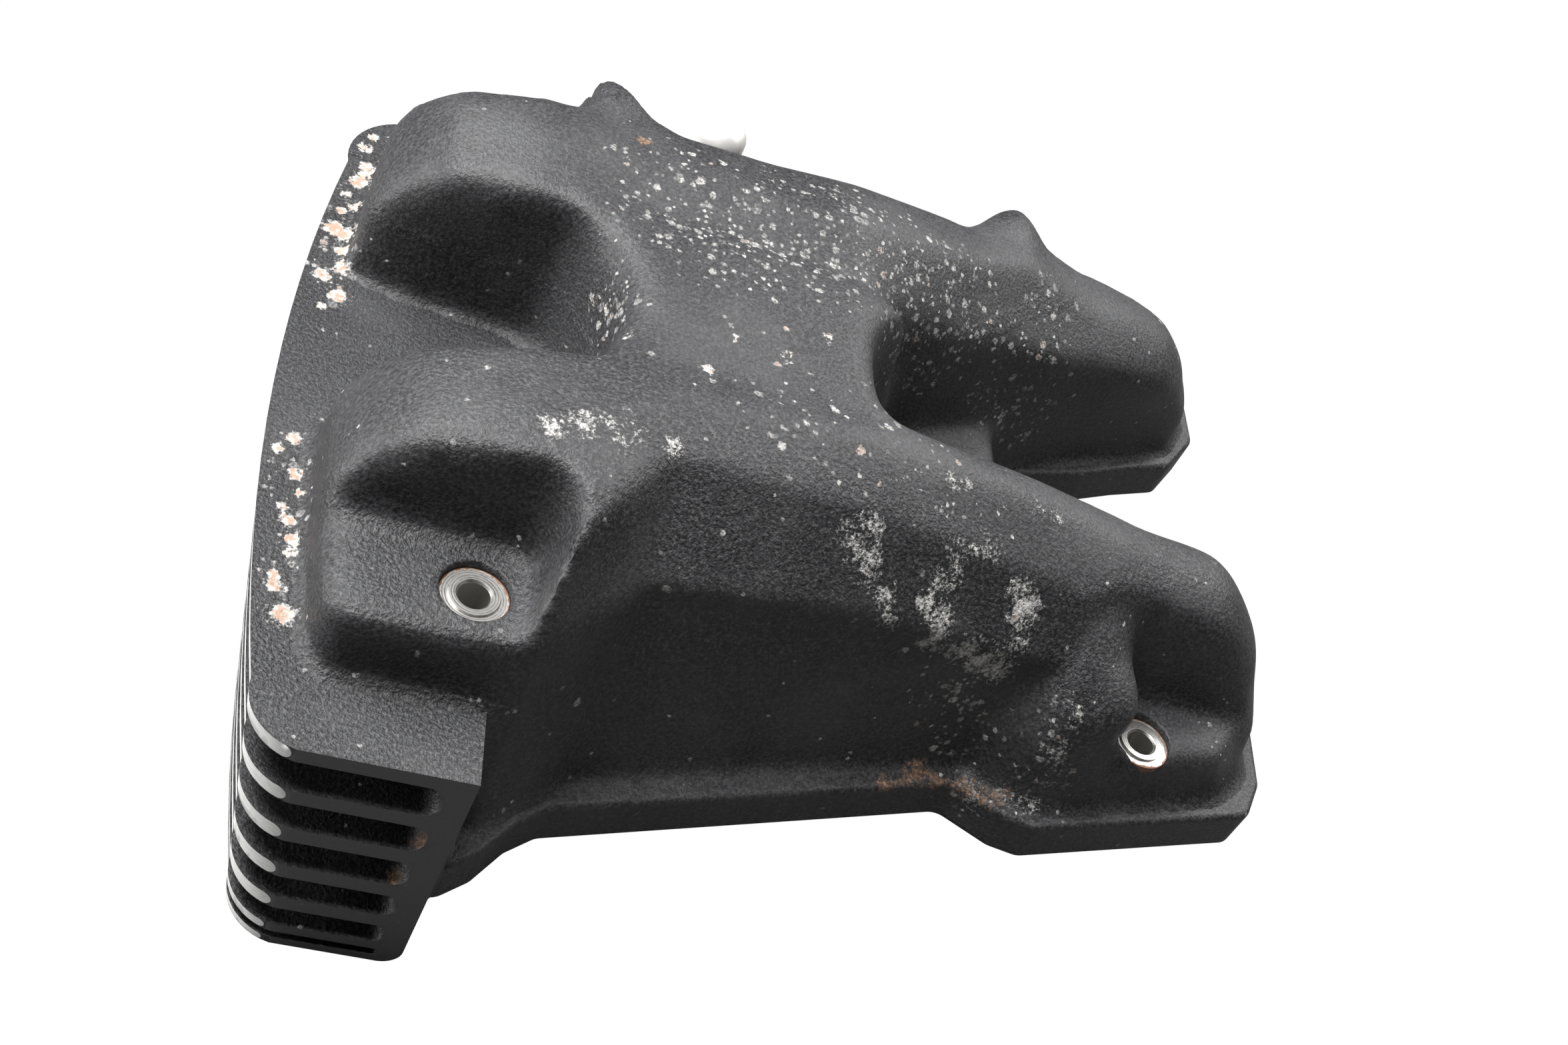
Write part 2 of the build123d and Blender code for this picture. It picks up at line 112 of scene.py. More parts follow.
def mesh_object(name: str, points: np.ndarray, faces: np.ndarray | list) -> bpy.types.Object:
    """A new object at the origin from points in metres.

    Args:
        name: the object's name.
        points: an (n, 3) array.
        faces: corner numbers of each face.

    Returns:
        The object, linked to the scene.
    """
    mesh = bpy.data.meshes.new(name)
    mesh.from_pydata(points.tolist(), [], [list(map(int, f)) for f in faces])
    mesh.validate()
    mesh.update()
    made = bpy.data.objects.new(name, mesh)
    bpy.context.scene.collection.objects.link(made)
    return made


def points_of(mesh: bpy.types.Mesh) -> np.ndarray:
    """A mesh's points as an (n, 3) array."""
    flat = np.empty(len(mesh.vertices) * 3)
    mesh.vertices.foreach_get("co", flat)
    return flat.reshape(-1, 3)


def smoothstep(values: np.ndarray, low: float, high: float) -> np.ndarray:
    """0 below low, 1 above high, and 3t² − 2t³ between them."""
    t = np.clip((values - low) / (high - low), 0.0, 1.0)
    return t * t * (3 - 2 * t)


def lathe(
    name: str, profile: list[tuple[float, float]], centre: tuple[float, float], around: int = 96
) -> bpy.types.Object:
    """A closed solid turned round an upright axis.

    Each point is centre + r (cos a, sin a) at its height, over a grid of profile places and angles.

    Args:
        name: the object's name.
        profile: (radius, height) pairs in millimetres, from the bottom centre to the top centre.
        centre: the axis' (x, y) in millimetres.
        around: number of angles.

    Returns:
        The object.
    """
    inner = np.array(profile[1:-1])
    angles = np.linspace(0, 2 * math.pi, around, endpoint=False)
    ring = np.stack([np.cos(angles), np.sin(angles)], axis=-1)
    grid = np.empty((len(inner), around, 3))
    grid[..., :2] = np.array(centre) + inner[:, None, :1] * ring[None]
    grid[..., 2] = inner[:, 1:2]
    ends = np.array([[*centre, profile[0][1]], [*centre, profile[-1][1]]])
    points = np.concatenate([grid.reshape(-1, 3), ends]) / 1000
    row = np.arange(around)
    step = (row + 1) % around
    faces: list = []
    for level in range(len(inner) - 1):
        low, high = level * around, (level + 1) * around
        faces += np.stack([low + row, low + step, high + step, high + row], axis=-1).tolist()
    last = (len(inner) - 1) * around
    bottom, top = len(points) - 2, len(points) - 1
    faces += np.stack([np.full(around, bottom), step, row], axis=-1).tolist()
    faces += np.stack([np.full(around, top), last + row, last + step], axis=-1).tolist()
    return mesh_object(name, points, faces)


def cut_copy(source: bpy.types.Object, name: str, planes: list[tuple[Vector, Vector]]) -> bpy.types.Object:
    """A closed copy of a CAD node, with what lies beyond each plane taken off and the cut filled.

    Args:
        source: the CAD node.
        name: the copy's name.
        planes: (point, direction) pairs; what is on the direction's side goes.

    Returns:
        The copy.
    """
    work = bmesh.new()
    work.from_mesh(source.data)
    bmesh.ops.remove_doubles(work, verts=work.verts, dist=1e-6)
    for point, direction in planes:
        everything = work.verts[:] + work.edges[:] + work.faces[:]
        bmesh.ops.bisect_plane(
            work, geom=everything, dist=1e-7, plane_co=point, plane_no=direction, clear_outer=True
        )
        rim = [e for e in work.edges if e.is_boundary]
        bmesh.ops.triangle_fill(work, use_beauty=True, use_dissolve=False, edges=rim, normal=direction)
    bmesh.ops.recalc_face_normals(work, faces=work.faces)
    mesh = bpy.data.meshes.new(name)
    work.to_mesh(mesh)
    work.free()
    made = bpy.data.objects.new(name, mesh)
    bpy.context.scene.collection.objects.link(made)
    return made


def gridded(piece: bpy.types.Object, step: float, ledge: tuple[float, float] | None = None) -> None:
    """Cuts a piece's faces along even planes so that attributes have points to sit on.

    Args:
        piece: the object.
        step: distance between planes in millimetres.
        ledge: (x, z) in millimetres; only faces left of x and above z are cut.
    """
    work = bmesh.new()
    work.from_mesh(piece.data)
    geometry = work.verts[:] + work.edges[:] + work.faces[:]
    if ledge:
        limit, floor = mm(ledge[0]), mm(ledge[1])
        faces = [
            f
            for f in work.faces
            if f.calc_center_median().x < limit and all(v.co.z > floor for v in f.verts)
        ]
        geometry = list({v for f in faces for v in f.verts} | {e for f in faces for e in f.edges}) + faces
    spots = np.array([g.co for g in geometry if isinstance(g, bmesh.types.BMVert)])
    low, high = spots.min(axis=0), spots.max(axis=0)
    for axis in range(2 if ledge else 3):
        direction = [0.0, 0.0, 0.0]
        direction[axis] = 1.0
        for at in np.arange(low[axis] + mm(step) * 0.37, high[axis], mm(step)):
            point = [0.0, 0.0, 0.0]
            point[axis] = float(at)
            cut = bmesh.ops.bisect_plane(work, geom=geometry, dist=1e-7, plane_co=point, plane_no=direction)
            geometry = cut["geom"]
    bmesh.ops.triangulate(work, faces=[f for f in work.faces if len(f.verts) > 4])
    work.to_mesh(piece.data)
    work.free()


def evaluated_mesh(source: bpy.types.Object) -> bpy.types.Mesh:
    """A new mesh with the object's modifiers applied."""
    graph = bpy.context.evaluated_depsgraph_get()
    return bpy.data.meshes.new_from_object(source.evaluated_get(graph))


# ---------------------------------------------------------------- finishes


@dataclass(frozen=True)
class TexturedBlackCoat:
    """Baked black crinkle coat on a sand-cast light alloy.

    The crinkle gives the eye a dark grey, leathery skin with a broad grazing sheen and tiny bright grains.
    Its colour holds painted shade in the crinkle's hollows and, besides rubbed wear, painted highlight on its
    peaks.
    The coat reads vertex attributes: "grain" for how coarse the crinkle is, "bloom" for a lace of fine white
    corrosion, "blister" for scattered single flakes, "crust" for lifted crusts with a tan heart and "rust"
    for brown stains.
    """

    # painted shade: the darker colour in the crinkle's hollows
    hollow_painted_shade: str = "#171718"
    body: str = "#303032"
    # partly rubbed wear, partly painted highlight: the lighter colour on the crinkle's peaks, also mixed in
    # as a faint random cloud
    peak_wear_and_highlight: str = "#565657"
    flake: str = "#e4e2de"
    chalk: str = "#9c9a97"
    shell: str = "#c2beb9"
    heart: str = "#b08a70"
    stain: str = "#5f4737"
    ochre: str = "#a08268"
    roughness: float = 0.46
    crinkle_mm: float = 0.9
    grit_mm: float = 0.5
    crinkle_height_mm: float = 0.6

    def material(self) -> bpy.types.Material:
        """The coat as a node material.

        Returns:
            The material.
        """
        made = bpy.data.materials.new("textured_black_coat")
        made.use_nodes = True
        tree = made.node_tree
        shader = tree.nodes["Principled BSDF"]
        place = node(tree, "ShaderNodeTexCoord").outputs["Object"]
        grain, bloom, blister, crust, rust = (
            node(tree, "ShaderNodeAttribute", {"attribute_name": name}).outputs["Fac"]
            for name in ("grain", "bloom", "blister", "crust", "rust")
        )

        def noise(size_mm: float, detail: float, roughness: float = 0.5) -> bpy.types.NodeSocket:
            """A noise whose cells are about size_mm across."""
            made = node(
                tree,
                "ShaderNodeTexNoise",
                Vector=place,
                Scale=1000 / size_mm,
                Detail=detail,
                Roughness=roughness,
            )
            return made.outputs["Fac"]

        def arithmetic(operation: str, *values: object) -> bpy.types.NodeSocket:
            """One arithmetic step on up to three values."""
            links = {f"i{k}": value for k, value in enumerate(values)}
            return node(tree, "ShaderNodeMath", {"operation": operation}, **links).outputs[0]

        def ramp(value: object, low: float, high: float) -> bpy.types.NodeSocket:
            """0 below low and 1 above high."""
            settings = {"interpolation_type": "SMOOTHSTEP"}
            return node(
                tree, "ShaderNodeMapRange", settings, Value=value, From_Min=low, From_Max=high
            ).outputs[0]

        def mix(factor: object, first: object, second: object) -> bpy.types.NodeSocket:
            """A colour between two."""
            links = {"Factor": factor, "i6": first, "i7": second}
            return node(tree, "ShaderNodeMix", {"data_type": "RGBA"}, **links).outputs[2]

        def spots(
            size_mm: float, density: object, widest: float
        ) -> tuple[bpy.types.NodeSocket, bpy.types.NodeSocket]:
            """Ragged spots in a share of the cells of a random pattern.

            Args:
                size_mm: width of a cell.
                density: share of the cells that hold a spot.
                widest: radius of the largest spot, as a share of the cell.

            Returns:
                The spots' mask and a number that differs from spot to spot.
            """
            torn = node(
                tree, "ShaderNodeTexNoise", Vector=place, Scale=1600 / size_mm, Detail=4.0, Roughness=0.6
            )
            spread = node(
                tree, "ShaderNodeVectorMath", {"operation": "MULTIPLY_ADD"},
                i0=torn.outputs["Color"], i1=(mm(size_mm) * 0.8,) * 3, i2=place,
            )
            cells = node(tree, "ShaderNodeTexVoronoi", Vector=spread.outputs[0], Scale=1000 / size_mm)
            chance = node(tree, "ShaderNodeSeparateColor", Color=cells.outputs["Color"])
            size = arithmetic("MULTIPLY_ADD", chance.outputs[1], widest * 0.6, widest * 0.4)
            inside = arithmetic("SUBTRACT", size, cells.outputs["Distance"])
            held = arithmetic("LESS_THAN", chance.outputs[0], density)
            return arithmetic("MULTIPLY", ramp(inside, -0.05, 0.14), held), chance.outputs[2]

        crinkle = noise(self.crinkle_mm, 2.0, 0.55)
        grit = noise(self.grit_mm, 2.0, 0.6)
        cloud = noise(26.0, 4.0, 0.6)
        relief = arithmetic("MULTIPLY_ADD", grit, 0.4, arithmetic("MULTIPLY", crinkle, 0.8))
        # painted shade keeps the crinkle's hollows dark, and its peaks turn grey, partly as rubbed wear and
        # partly as painted highlight
        base = mix(ramp(relief, 0.46, 0.64), linear(self.hollow_painted_shade), linear(self.body))
        peak_wear_and_highlight_mask = arithmetic("MULTIPLY", ramp(relief, 0.62, 0.78), arithmetic("MULTIPLY_ADD", grain, 0.8, 0.1))
        base = mix(peak_wear_and_highlight_mask, base, linear(self.peak_wear_and_highlight))
        base = mix(arithmetic("MULTIPLY", ramp(cloud, 0.42, 0.72), 0.25), base, linear(self.peak_wear_and_highlight))
        # a lace of fine corrosion, thick in its middle and stippled at its edge
        dust = noise(0.9, 3.0, 0.7)
        lace = noise(4.6, 6.0, 0.72)
        spread = arithmetic("MULTIPLY_ADD", lace, 1.0, arithmetic("MULTIPLY", bloom, 0.5))
        spread = arithmetic("MULTIPLY_ADD", dust, 0.9, spread)
        haze = arithmetic("MULTIPLY", ramp(spread, 1.24, 1.5), ramp(bloom, 0.02, 0.25))
        # single flakes, large and small, each more or less see-through
        large, hue = spots(2.7, arithmetic("MULTIPLY_ADD", blister, 1.3, 0.008), 0.5)
        small, shade = spots(1.6, arithmetic("MULTIPLY_ADD", blister, 0.9, 0.02), 0.45)
        large = arithmetic("MULTIPLY", large, arithmetic("MULTIPLY_ADD", hue, 0.5, 0.25))
        large = arithmetic("MULTIPLY", large, ramp(noise(0.9, 3.0, 0.7), 0.3, 0.55))
        small = arithmetic("MULTIPLY", small, arithmetic("MULTIPLY_ADD", shade, 0.6, 0.15))
        # lifted crusts with ragged edges and a tan heart
        torn = arithmetic("MULTIPLY_ADD", noise(1.3, 4.0, 0.65), 1.7, crust)
        lifted = arithmetic("MULTIPLY", ramp(torn, 1.25, 1.5), ramp(crust, 0.01, 0.12))
        hearts = arithmetic(
            "MULTIPLY", ramp(arithmetic("MULTIPLY_ADD", crust, 0.35, noise(1.2, 3.0)), 0.7, 0.9), lifted
        )
        white = arithmetic(
            "MAXIMUM", arithmetic("MAXIMUM", large, small), arithmetic("MAXIMUM", haze, lifted)
        )
        powder = mix(ramp(noise(0.7, 3.0, 0.7), 0.36, 0.6), linear(self.chalk), linear(self.flake))
        powder = mix(lifted, powder, linear(self.shell))
        tinted = arithmetic("MULTIPLY", arithmetic("GREATER_THAN", hue, 0.93), large)
        powder = mix(
            arithmetic("MULTIPLY", arithmetic("MAXIMUM", hearts, tinted), 0.8), powder, linear(self.heart)
        )
        base = mix(arithmetic("MULTIPLY", white, 0.92), base, powder)
        smear = arithmetic("MULTIPLY_ADD", rust, 0.5, arithmetic("MULTIPLY", noise(2.2, 6.0, 0.75), 1.1))
        stains = arithmetic("MULTIPLY", ramp(smear, 0.76, 1.1), ramp(rust, 0.02, 0.25))
        brown = mix(ramp(noise(1.1, 4.0, 0.7), 0.45, 0.68), linear(self.stain), linear(self.ochre))
        base = mix(arithmetic("MULTIPLY", stains, 0.8), base, brown)
        tree.links.new(base, shader.inputs["Base Color"])
        rough = arithmetic("MULTIPLY_ADD", arithmetic("MAXIMUM", white, stains), 0.4, self.roughness)
        tree.links.new(arithmetic("MULTIPLY_ADD", cloud, 0.1, rough), shader.inputs["Roughness"])
        coarse = arithmetic("MULTIPLY", relief, arithmetic("MULTIPLY_ADD", grain, 0.85, 0.15))
        height = arithmetic("MULTIPLY_ADD", white, 0.3, coarse)
        bump = node(tree, "ShaderNodeBump", Height=height, Strength=1.0, Distance=mm(self.crinkle_height_mm))
        tree.links.new(bump.outputs[0], shader.inputs["Normal"])
        return made


@dataclass(frozen=True)
class MilledAluminium:
    """Bare aluminium left by a milling cutter: near white, with fine lines along the cut."""

    colour: str = "#f1f1ef"
    dull: str = "#c9c8c4"
    roughness: float = 0.42

    def dress(
        self, tree: bpy.types.NodeTree, place: bpy.types.NodeSocket
    ) -> tuple[bpy.types.NodeSocket, float]:
        """The colour of the milled face and its roughness.

        Args:
            tree: the node tree it joins.
            place: Object coordinates.

        Returns:
            The colour socket and the roughness.
        """
        stretch = node(tree, "ShaderNodeMapping", Vector=place, Scale=(300.0, 60.0, 2500.0))
        lines = node(
            tree, "ShaderNodeTexNoise", Vector=stretch.outputs[0], Scale=1.0, Detail=3.0
        ).outputs["Fac"]
        spread = node(tree, "ShaderNodeMapRange", Value=lines, From_Min=0.5, From_Max=0.8)
        links = {"Factor": spread.outputs[0], "i6": linear(self.colour), "i7": linear(self.dull)}
        return node(tree, "ShaderNodeMix", {"data_type": "RGBA"}, **links).outputs[2], self.roughness


@dataclass(frozen=True)
class TurnedSteel:
    """Plain steel turned on a lathe: fine rings about the axis and a brown bloom at the rim."""

    centre: tuple[float, float]
    bright: str = "#e2e0dc"
    dark: str = "#a5a19b"
    rust: str = "#80604a"
    ring_mm: float = 0.6
    rim_mm: float = 7.5
    rust_width_mm: float = 0.6

    def material(self, name: str) -> bpy.types.Material:
        """The steel as a node material.

        Args:
            name: the material's name.

        Returns:
            The material.
        """
        made = bpy.data.materials.new(name)
        made.use_nodes = True
        tree = made.node_tree
        shader = tree.nodes["Principled BSDF"]
        place = node(tree, "ShaderNodeTexCoord").outputs["Object"]
        shift = node(
            tree,
            "ShaderNodeMapping",
            Vector=place,
            Location=(-mm(self.centre[0]), -mm(self.centre[1]), 0.0),
        )
        flat = node(
            tree, "ShaderNodeVectorMath", {"operation": "MULTIPLY"}, i0=shift.outputs[0], i1=(1.0, 1.0, 0.0)
        )
        radius = node(
            tree, "ShaderNodeVectorMath", {"operation": "LENGTH"}, i0=flat.outputs[0]
        ).outputs["Value"]
        turns = node(
            tree,
            "ShaderNodeMath",
            {"operation": "MULTIPLY"},
            i0=radius,
            i1=2 * math.pi * 1000 / self.ring_mm,
        )
        rings = node(tree, "ShaderNodeMath", {"operation": "SINE"}, i0=turns.outputs[0])
        ragged = node(tree, "ShaderNodeTexNoise", Vector=place, Scale=900.0, Detail=4.0).outputs["Fac"]
        swing = node(
            tree, "ShaderNodeMath", {"operation": "MULTIPLY_ADD"}, i0=rings.outputs[0], i1=0.25, i2=ragged
        )
        tone = node(tree, "ShaderNodeMapRange", Value=swing.outputs[0], From_Min=0.35, From_Max=0.95)
        links = {"Factor": tone.outputs[0], "i6": linear(self.bright), "i7": linear(self.dark)}
        steel = node(tree, "ShaderNodeMix", {"data_type": "RGBA"}, **links).outputs[2]
        wander = node(tree, "ShaderNodeMath", {"operation": "MULTIPLY_ADD"}, i0=ragged, i1=mm(1.6), i2=radius)
        edge = mm(self.rim_mm + 0.8)
        bloom = node(
            tree,
            "ShaderNodeMapRange",
            Value=wander.outputs[0],
            From_Min=edge - mm(self.rust_width_mm),
            From_Max=edge - mm(self.rust_width_mm * 0.4),
        ).outputs[0]
        links = {"Factor": bloom, "i6": steel, "i7": linear(self.rust)}
        colour = node(tree, "ShaderNodeMix", {"data_type": "RGBA"}, **links).outputs[2]
        tree.links.new(colour, shader.inputs["Base Color"])
        metal = node(tree, "ShaderNodeMath", {"operation": "SUBTRACT"}, i0=1.0, i1=bloom)
        tree.links.new(metal.outputs[0], shader.inputs["Metallic"])
        rough = node(tree, "ShaderNodeMath", {"operation": "MULTIPLY_ADD"}, i0=bloom, i1=0.4, i2=0.36)
        tree.links.new(rough.outputs[0], shader.inputs["Roughness"])
        bump = node(tree, "ShaderNodeBump", Height=rings.outputs[0], Strength=0.12, Distance=mm(0.05))
        tree.links.new(bump.outputs[0], shader.inputs["Normal"])
        return made


@dataclass(frozen=True)
class PlainFinish:
    """One even material, with a faint noise in its roughness."""

    name: str
    colour: str
    roughness: float
    metallic: float = 0.0

    def material(self) -> bpy.types.Material:
        """The finish as a node material.

        Returns:
            The material.
        """
        made = bpy.data.materials.new(self.name)
        made.use_nodes = True
        tree = made.node_tree
        shader = tree.nodes["Principled BSDF"]
        shader.inputs["Base Color"].default_value = linear(self.colour)
        shader.inputs["Metallic"].default_value = self.metallic
        place = node(tree, "ShaderNodeTexCoord").outputs["Object"]
        cloud = node(tree, "ShaderNodeTexNoise", Vector=place, Scale=400.0, Detail=3.0).outputs["Fac"]
        span = node(
            tree,
            "ShaderNodeMapRange",
            Value=cloud,
            To_Min=self.roughness * 0.85,
            To_Max=self.roughness * 1.15,
        )
        tree.links.new(span.outputs[0], shader.inputs["Roughness"])
        return made


MOULDED_RUBBER = PlainFinish("moulded_black_rubber", "#1d1d1e", 0.72)
ZINC_PLATE = PlainFinish("zinc_plated_steel", "#efede9", 0.38, 0.35)


# ---------------------------------------------------------------- the casting


@dataclass(frozen=True)
class WearPatch:
    """An area of corrosion or stain on the casting, round or drawn out along a line, in millimetres."""

    centre: tuple[float, float, float]
    radius: float
    strength: float = 1.0
    end: tuple[float, float, float] | None = None


def patch_field(points: np.ndarray, patches: tuple[WearPatch, ...], grow: float = 1.0) -> np.ndarray:
    """How worn each point is.

    For each patch the value is its strength times 1 − (distance to its line / radius)², and the largest
    counts.

    Args:
        points: an (n, 3) array in metres.
        patches: the worn areas.
        grow: factor on every radius.

    Returns:
        One value from 0 up for each point.
    """
    worn = np.zeros(len(points))
    for patch in patches:
        start = np.array(patch.centre, dtype=float)
        run = np.array(patch.end or patch.centre, dtype=float) - start
        along = np.clip((points * 1000 - start) @ run / max(run @ run, 1e-9), 0, 1)
        away = np.linalg.norm(points * 1000 - start - along[:, None] * run, axis=1) / (patch.radius * grow)
        worn = np.maximum(worn, patch.strength * np.clip(1 - away**2, 0, 1))
    return worn


@dataclass(frozen=True)
class Scatter:
    """Worn spots strewn at random about a line, in millimetres."""

    start: tuple[float, float, float]
    end: tuple[float, float, float]
    count: int
    spread: tuple[float, float, float]
    radius: float
    strength: float

    def spots(self, random: np.random.Generator) -> list[WearPatch]:
        """The spots, evenly spaced along the line and then shifted at random.

        Args:
            random: source of the random numbers.

        Returns:
            One small patch for each spot.
        """
        first, last = np.array(self.start), np.array(self.end)
        along = (np.arange(self.count) + random.uniform(0, 1, self.count)) / self.count
        shift = random.uniform(-1, 1, (self.count, 3)) * np.array(self.spread)
        places = first + along[:, None] * (last - first) + shift
        radii = self.radius * random.uniform(0.65, 1.2, self.count)
        strengths = self.strength * random.uniform(0.75, 1.15, self.count)
        return [WearPatch(tuple(p), r, w) for p, r, w in zip(places, radii, strengths)]


def strewn(scatters: tuple[Scatter, ...], seed: int) -> tuple[WearPatch, ...]:
    """Every scatter's spots, the same on each run."""
    random = np.random.default_rng(seed)
    return tuple(spot for scatter in scatters for spot in scatter.spots(random))


# Lifted crusts: two runs along the plate's rim, then the saddle, the slope above the valley and the near
# flank.
CRUSTS = strewn(
    (
        Scatter((-36, 160, 45), (-38, 90, 45), 15, (3, 1, 0), 3.0, 1.0),
        Scatter((-40, 50, 45), (-36, -5, 45), 11, (3, 1, 0), 2.8, 1.05),
        Scatter((40, 60, 86), (80, 80, 85), 7, (5, 8, 1), 2.2, 0.8),
        Scatter((25, 60, 85), (20, 90, 70), 8, (2, 3, 1), 2.5, 0.65),
        Scatter((125, 35, 65), (130, 20, 15), 5, (3, 1, 3), 2.6, 0.75),
    ),
    seed=3,
)
# Areas strewn with single flakes: the far hump, the recess, the near flank, the flange and the plate's rim.
BLISTERS = (
    WearPatch((40, 110, 85), 28.0, 0.55, (115, 120, 70)),
    WearPatch((145, 140, 55), 20.0, 0.3),
    WearPatch((20, 80, 75), 12.0, 0.6),
    WearPatch((140, 130, 40), 13.0, 0.55, (155, 135, 30)),
    WearPatch((120, 25, 35), 12.0, 0.6, (130, 25, 25)),
    WearPatch((145, 20, 35), 10.0, 0.45, (150, 15, 20)),
    WearPatch((135, 15, 10), 8.0, 0.4),
    WearPatch((60, 50, 85), 20.0, 0.18, (100, 50, 80)),
    WearPatch((-38, 120, 45), 10.0, 0.3, (-38, 100, 45)),
    WearPatch((-38, 40, 45), 8.0, 0.3, (-36, 0, 45)),
)
# Lace of fine white corrosion: a hooked band and looser drifts on the near flank, then the bulge, the flange,
# the near hump's crown and the far hump's crown.
BLOOMS = strewn(
    (
        Scatter((100, 25, 60), (130, 28, 45), 12, (3, 1, 4), 5.0, 0.95),
        Scatter((130, 28, 45), (125, 38, 65), 8, (2, 1, 2), 4.5, 0.95),
        Scatter((85, 25, 68), (80, 32, 78), 5, (4, 1, 3), 4.5, 0.8),
        Scatter((88, 25, 68), (95, 20, 55), 6, (3, 1, 3), 4.5, 0.8),
        Scatter((105, 30, 65), (115, 42, 75), 8, (4, 1, 2), 4.5, 0.8),
        Scatter((145, 24, 45), (150, 16, 18), 6, (3, 1, 3), 5.0, 0.62),
        Scatter((135, 16, 12), (150, 15, 12), 3, (2, 2, 0), 5.0, 0.7),
        Scatter((5, 24, 88), (32, 30, 88), 9, (2, 3, 0), 4.0, 0.85),
        Scatter((98, 48, 81), (144, 57, 70), 7, (3, 3, 1), 3.6, 0.6),
        Scatter((60, 135, 86), (80, 135, 85), 5, (4, 4, 1), 7.0, 0.5),
    ),
    seed=5,
)
# Brown stains: a streak along the near flange, spots in the fin slots and one red spot on the far hump.
STAINS = strewn(
    (
        Scatter((110, 15, 12), (145, 18, 12), 9, (1, 3, 0), 5.0, 0.95),
        Scatter((0, -33, 25), (0, -33, -10), 2, (1, 0, 3), 4.5, 1.5),
        Scatter((-30, -30, 30), (-38, 0, 20), 3, (1, 1, 3), 4.0, 1.3),
        Scatter((25, 130, 88), (25, 130, 88), 1, (0, 0, 0), 2.8, 2.0),
    ),
    seed=7,
)


class Side(Enum):
    """Which side of the split a crisp part keeps, as the X direction of what is cut away."""

    FINS = 1
    FLANGE = -1


@dataclass(frozen=True)
class Swell:
    """A place where the cast skin stands a little fuller, in millimetres."""

    centre: tuple[float, float, float]
    radius: float
    height: float


# The two humps' right ends, the far hump's crown, the peaks beside its back pockets, its back edge and the
# bulge by the end pocket.
SWELLS = (
    Swell((192, 63, 52), 34.0, 3.0),
    Swell((182, 166, 52), 34.0, 2.6),
    Swell((-12, 133, 84), 30.0, 1.2),
    Swell((18, 149, 86), 13.0, 2.4),
    Swell((140, 171, 67), 13.0, 2.0),
    Swell((42, 133, 86), 22.0, 1.2),
    Swell((163, 27, 42), 13.0, 2.8),
)


